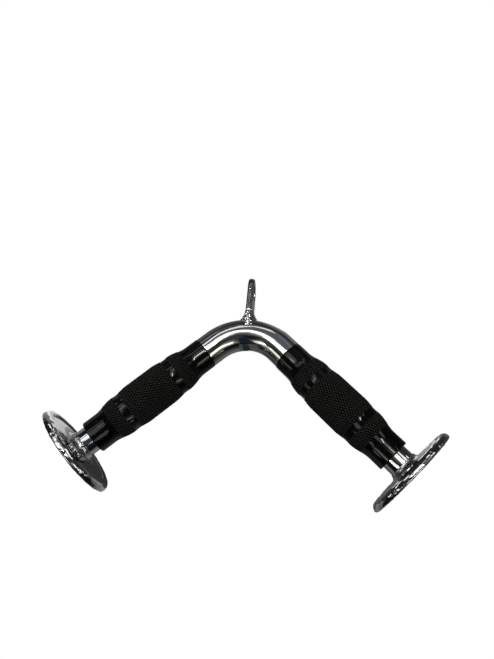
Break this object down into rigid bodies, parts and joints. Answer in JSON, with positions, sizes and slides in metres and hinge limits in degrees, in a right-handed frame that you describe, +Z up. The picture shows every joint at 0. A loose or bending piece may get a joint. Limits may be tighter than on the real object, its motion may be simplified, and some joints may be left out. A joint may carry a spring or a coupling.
{
  "type": "v-bar cable attachment",
  "caption": "V-shaped press-down bar for a cable machine, with contoured rubber grips, round end flanges and a welded eye plate.",
  "frame": {"origin": "centre of the eye plate's hole, where the carabiner goes through", "axes": "+X along the hole and towards the right arm as seen from the front, +Z up as the bar hangs, -Y towards the viewer of the picture; both arms lie in the XZ plane"},
  "size_m": [0.3566, 0.089, 0.2165],
  "materials": {
    "bar_chrome": "polished chrome plate",
    "tube_chrome": "polished chrome plate",
    "eye_chrome": "chrome plate over rough cut edges",
    "weld_chrome": "chrome plate over rippled weld",
    "grip_rubber": "gloss bands and satin diamond knurl",
    "flange_chrome": "polished chrome plate",
    "fastener_steel": "zinc-plated steel"
  },
  "bodies": {
    "root": {"core_bar": "bar_chrome", "bend_tube": "tube_chrome", "hanging_eye": "eye_chrome", "eye_weld_bead": "weld_chrome", "left_grip": "grip_rubber", "right_grip": "grip_rubber", "left_flange": "flange_chrome", "right_flange": "flange_chrome", "left_flange_washer": "fastener_steel", "right_flange_washer": "fastener_steel", "left_flange_screw": "fastener_steel", "right_flange_screw": "fastener_steel"}
  },
  "joints": []
}
